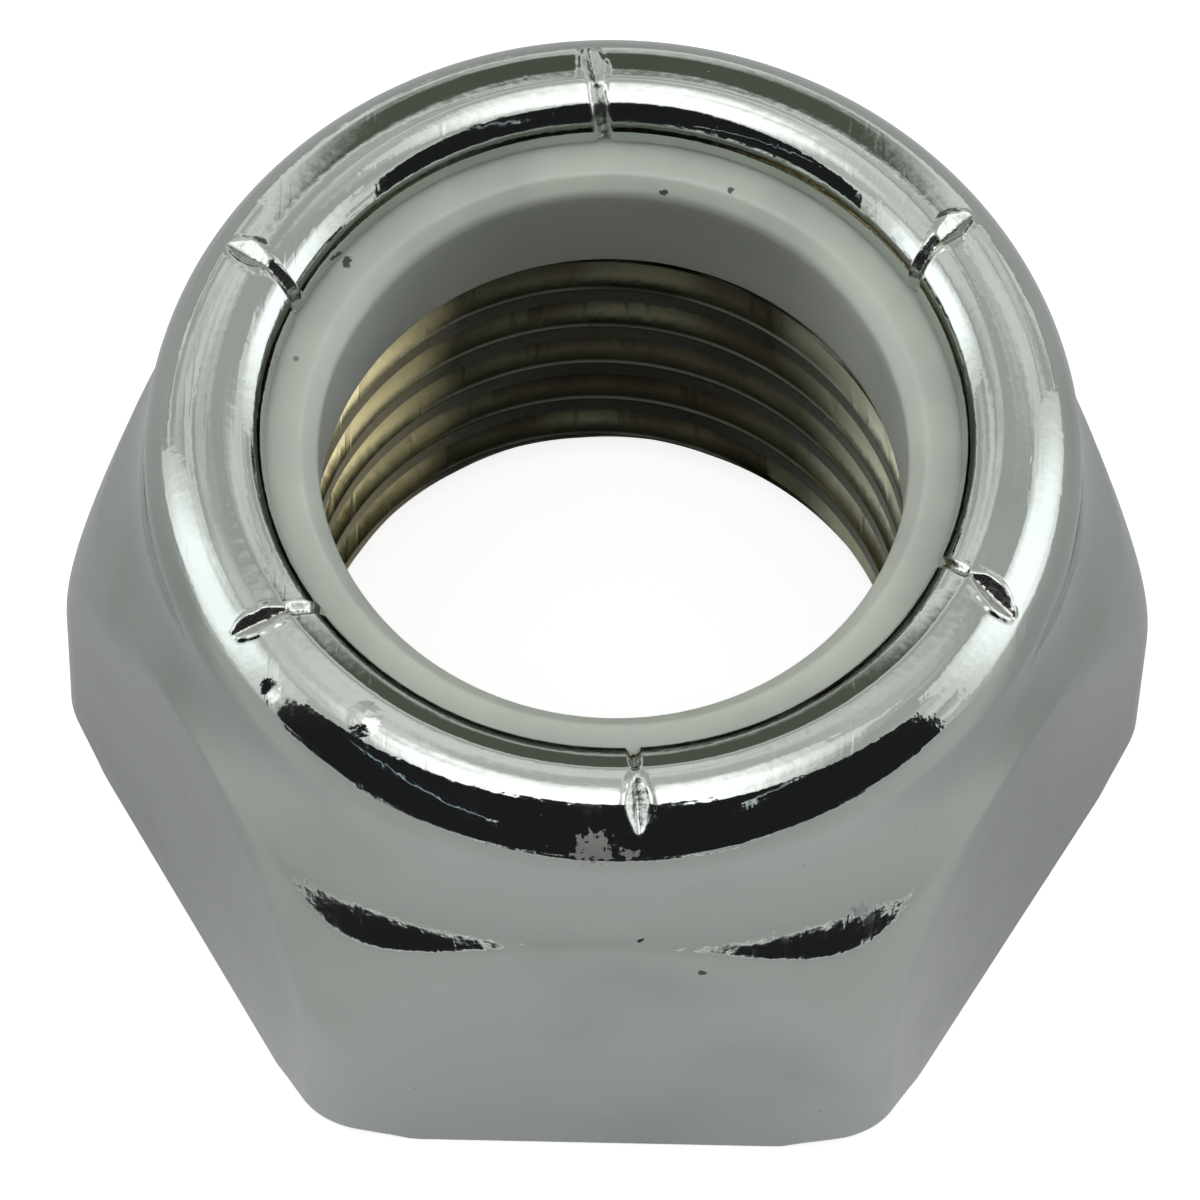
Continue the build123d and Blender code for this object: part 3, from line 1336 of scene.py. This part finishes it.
@dataclass
class NylonRing:
    """The nylon insert, with its moulded bevels softened."""

    bore: float = 4.78
    outside: float = 6.62
    foot: float = 7.35
    top: float = 9.77
    chamfer: float = 0.3
    bevel: float = 0.5
    soft: float = 0.07
    columns: int = 320

    def build(self, nylon: bpy.types.Material) -> bpy.types.Object:
        """Builds and dresses the ring.

        Args:
            nylon: its finish.

        Returns:
            The finished piece.
        """
        corners = [
            (self.bore, self.foot),
            (self.outside, self.foot),
            (self.outside, self.top - self.bevel),
            (self.outside - self.bevel, self.top),
            (self.bore + self.chamfer, self.top),
            (self.bore, self.top - self.chamfer),
        ]
        section = []
        for index, corner in enumerate(corners):
            here = np.array(corner)
            back = np.array(corners[index - 1]) - here
            ahead = np.array(corners[(index + 1) % len(corners)]) - here
            start = here + back / np.linalg.norm(back) * self.soft
            end = here + ahead / np.linalg.norm(ahead) * self.soft
            section += corner_curve(start, here, end, 5)
            following = here + ahead - ahead / np.linalg.norm(ahead) * self.soft
            section += straight(end, following, 6)
        grid = GridMesh()
        turns = np.arange(self.columns) * math.tau / self.columns
        rings = [grid.ring(turns, np.tile(point, (self.columns, 1))) for point in section]
        for low, high in zip(rings, rings[1:] + rings[:1]):
            grid.join(low, high)
        piece = grid.build("nylon_insert_dressed")
        piece.data.materials.append(nylon)
        close_and_smooth(piece, 180.0, 0.0)
        return piece


@dataclass(frozen=True)
class PhotoCamera:
    """The camera at the photograph's place: angles in degrees, lengths in millimetres."""

    azimuth: float = -0.916
    elevation: float = 62.494
    roll: float = 2.032
    distance: float = 182.9
    focal_pixels: float = 11016.0
    image_pixels: float = 1200.0
    target: tuple = (-0.132, 0.0, 4.342)

    def build(self) -> bpy.types.Object:
        """Makes the camera and sets it as the scene's.

        Returns:
            The camera object.
        """
        turn, rise, roll = (math.radians(a) for a in (self.azimuth, self.elevation, self.roll))
        back = Vector((math.sin(turn) * math.cos(rise), -math.cos(turn) * math.cos(rise), math.sin(rise)))
        right = (-back).cross(Vector((0, 0, 1))).normalized()
        up = right.cross(-back)
        rolled_right = right * math.cos(roll) + up * math.sin(roll)
        rolled_up = up * math.cos(roll) - right * math.sin(roll)
        data = bpy.data.cameras.new("photo_camera")
        data.sensor_width = 36.0
        data.lens = self.focal_pixels / self.image_pixels * data.sensor_width
        data.clip_start = 0.001
        data.clip_end = 10.0
        camera = bpy.data.objects.new("photo_camera", data)
        axes = Matrix((rolled_right, rolled_up, back)).transposed().to_4x4()
        place = (Vector(self.target) + back * self.distance) * MM
        camera.matrix_world = Matrix.Translation(place) @ axes
        bpy.context.scene.collection.objects.link(camera)
        bpy.context.scene.camera = camera
        return camera


@dataclass(frozen=True)
class Panel:
    """An upright card or soft box of the studio, in millimetres, and degrees from the front."""

    name: str
    turn: float
    distance: float
    width: float
    bottom: float
    top: float
    soft: float
    colour: tuple = WHITE
    shift: float = 0.0

    def corners(self) -> list[tuple]:
        """Its four corners, for a panel that faces the nut."""
        turn = math.radians(self.turn)
        out = Vector((math.sin(turn), -math.cos(turn), 0))
        side = Vector((math.cos(turn), math.sin(turn), 0))
        middle = out * self.distance + side * self.shift
        low, high = middle - side * self.width / 2, middle + side * self.width / 2
        return [
            (low.x, low.y, self.bottom),
            (high.x, high.y, self.bottom),
            (high.x, high.y, self.top),
            (low.x, low.y, self.top),
        ]


@dataclass(frozen=True)
class Overhead:
    """A level soft box above the nut, in millimetres."""

    name: str
    left: float
    right: float
    front: float
    back: float
    level: float
    soft: float
    colour: tuple

    def corners(self) -> list[tuple]:
        """Its four corners."""
        return [
            (self.left, self.front, self.level),
            (self.right, self.front, self.level),
            (self.right, self.back, self.level),
            (self.left, self.back, self.level),
        ]


@dataclass(frozen=True)
class Sliver:
    """A thin slanted line of light before the front card, in millimetres."""

    name: str
    start: tuple
    end: tuple
    distance: float
    width: float
    soft: float
    colour: tuple

    def corners(self) -> list[tuple]:
        """Its four corners."""
        (left, low), (right, high) = self.start, self.end
        return [
            (left, -self.distance, low),
            (right, -self.distance, high),
            (right, -self.distance, high + self.width),
            (left, -self.distance, low + self.width),
        ]


@dataclass
class Studio:
    """A white floor, soft boxes above and beside, and dark cards, as chrome is photographed."""

    floor_reach: float = 1500.0
    floor_colour: float = 0.5
    floor_shown: float = 0.84
    floor_mirrored: tuple = (0.26, 0.06)
    floor_fades: tuple = (-9.0, -2.0)
    surround: tuple = (1.12, 1.13, 1.10, 1.0)
    dim: tuple = (0.62, 0.64, 0.62, 1.0)
    layering: tuple = (1.1, 1.1, 6.0)
    panels: tuple = (
        Panel("front_card", 0.0, 29.0, 122.0, 0.0, 50.0, 0.02, (0.022, 0.022, 0.024, 1.0), shift=1.0),
        Panel("left_soft_box", -90.0, 130.0, 110.0, -18.0, 126.0, 0.35, (2.1, 2.15, 2.2, 1.0)),
        Panel("right_soft_box", 98.0, 130.0, 126.0, -18.0, 140.0, 0.35, (2.0, 2.05, 2.1, 1.0)),
        Panel("back_card", 180.0, 90.0, 120.0, 0.0, 116.0, 0.25, (0.14, 0.15, 0.12, 1.0)),
        Overhead("overhead_soft_box", -104.0, 84.0, -120.0, -8.0, 150.0, 0.3, (2.4, 2.4, 2.4, 1.0)),
        Sliver("left_glint", (-36.0, 38.0), (-10.0, 16.0), 28.6, 0.7, 0.1, (0.7, 0.95, 1.1, 1.0)),
        Sliver("right_glint", (14.0, 26.0), (24.0, 44.0), 28.6, 2.2, 0.2, (0.3, 0.42, 0.5, 1.0)),
    )

    def card(self, name: str, corners: list, material: bpy.types.Material) -> bpy.types.Object:
        """A flat card of the studio, which the camera doesn't see.

        Args:
            name: its name.
            corners: its four corners in millimetres.
            material: its finish.

        Returns:
            The card, with its corners at 0 and 1 on its UV map.
        """
        mesh = bpy.data.meshes.new(name)
        mesh.from_pydata([tuple(c * MM for c in corner) for corner in corners], [], [(0, 1, 2, 3)])
        mesh.materials.append(material)
        spread = mesh.uv_layers.new(name="card")
        for loop, place in zip(spread.data, ((0, 0), (1, 0), (1, 1), (0, 1))):
            loop.uv = place
        made = bpy.data.objects.new(name, mesh)
        bpy.context.scene.collection.objects.link(made)
        made.visible_camera = False
        return made

    def floor_glow(self, writer: NodeWriter) -> bpy.types.NodeSocket:
        """What lifts the floor to white for the camera, through glass, and in metal more in front."""
        path = writer.node("ShaderNodeLightPath").outputs
        seen = writer.math("MAXIMUM", path["Is Camera Ray"], path["Is Transmission Ray"])
        shown = writer.math("MULTIPLY", seen, self.floor_shown)
        place = writer.node("ShaderNodeTexCoord").outputs["Object"]
        to_back = writer.node("ShaderNodeSeparateXYZ", {0: place}).outputs[1]
        lift = writer.remap(to_back, *(y * MM for y in self.floor_fades), *self.floor_mirrored)
        return writer.math("ADD", shown, writer.math("MULTIPLY", path["Is Glossy Ray"], lift))

    def glowing_finish(self, name: str) -> tuple[bpy.types.Material, NodeWriter]:
        """Makes an empty material whose light is found by rays that hit it, and not sampled as a lamp.

        The floor and the cards are so large that this looks the same and renders faster.

        Args:
            name: its name.

        Returns:
            The material and its tree's writer.
        """
        made, writer = new_material(name)
        made.cycles.emission_sampling = "NONE"
        return made, writer

    def panel_finish(self, panel: Panel | Overhead | Sliver) -> bpy.types.Material:
        """A panel's finish, which fades into the surroundings at its edges.

        Args:
            panel: the panel.

        Returns:
            The material.
        """
        made, writer = self.glowing_finish(panel.name)
        spread = writer.node("ShaderNodeUVMap", uv_map="card").outputs[0]
        parts = writer.node("ShaderNodeSeparateXYZ", {0: spread}).outputs
        shares = []
        for part in (parts[0], parts[1]):
            shares.append(writer.remap(part, 0.0, panel.soft, 0.0, 1.0))
            shares.append(writer.remap(part, 1 - panel.soft, 1.0, 1.0, 0.0))
        inside = writer.math(
            "MULTIPLY", writer.math("MULTIPLY", *shares[:2]), writer.math("MULTIPLY", *shares[2:])
        )
        colour = writer.mix(inside, self.surround, panel.colour)
        shader = writer.node("ShaderNodeEmission", {"Color": colour, "Strength": 1.0})
        writer.node("ShaderNodeOutputMaterial", {"Surface": shader.outputs[0]})
        return made

    def build(self) -> None:
        """Makes the floor, the cards, the soft boxes and the world."""
        reach = self.floor_reach
        floor = self.card(
            "floor",
            [(-reach, -reach, 0), (reach, -reach, 0), (reach, reach, 0), (-reach, reach, 0)],
            self.floor_finish(),
        )
        floor.visible_camera = True
        for panel in self.panels:
            self.card(panel.name, panel.corners(), self.panel_finish(panel))
        world = bpy.data.worlds.new("studio")
        bpy.context.scene.world = world
        # Rays find the world's light too, as they find the cards'.
        world.cycles.sampling_method = "NONE"
        world.use_nodes = True
        world.node_tree.nodes.clear()
        writer = NodeWriter(world.node_tree)
        direction = writer.node("ShaderNodeTexCoord").outputs["Generated"]
        layered = writer.node("ShaderNodeMapping", {"Vector": direction, "Scale": self.layering})
        uneven = writer.noise(layered.outputs[0], 1.0, 2.0)
        around = writer.mix(writer.remap(uneven, 0.36, 0.64, 0.0, 1.0), self.dim, self.surround)
        seen = writer.node("ShaderNodeLightPath").outputs["Is Camera Ray"]
        colour = writer.mix(seen, around, WHITE)
        sky = writer.node("ShaderNodeBackground", {"Color": colour, "Strength": 1.0})
        writer.node("ShaderNodeOutputWorld", {"Surface": sky.outputs[0]})

    def floor_finish(self) -> bpy.types.Material:
        """The floor: white, with the object's shadow on it.

        Returns:
            The material.
        """
        made, writer = self.glowing_finish("studio_floor")
        grey = self.floor_colour
        paper = writer.node("ShaderNodeBsdfDiffuse", {"Color": (grey, grey, grey, 1.0)})
        glow = writer.node("ShaderNodeEmission", {"Color": WHITE, "Strength": self.floor_glow(writer)})
        both = writer.node("ShaderNodeAddShader", {0: paper.outputs[0], 1: glow.outputs[0]})
        writer.node("ShaderNodeOutputMaterial", {"Surface": both.outputs[0]})
        return made


def main() -> None:
    """Builds the nut, the studio and the camera, and reports each piece."""
    logging.basicConfig(level=logging.INFO, format="%(name)s: %(message)s")
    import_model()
    bpy.context.scene.view_settings.view_transform = "Standard"
    PhotoCamera().build()
    Studio().build()
    chrome = Chrome().material()
    body = NutBody().build(chrome, ThreadPlating().material())
    ring = NylonRing().build(Nylon().material())
    for piece, node, slot in ((body, "nut_body", "chrome_plating"), (ring, "nylon_insert", "nylon")):
        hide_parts(node)
        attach(piece, "root")
        log.info("%s stands for %s and takes %s", piece.name, node, slot)


if __name__ == "__main__":
    main()
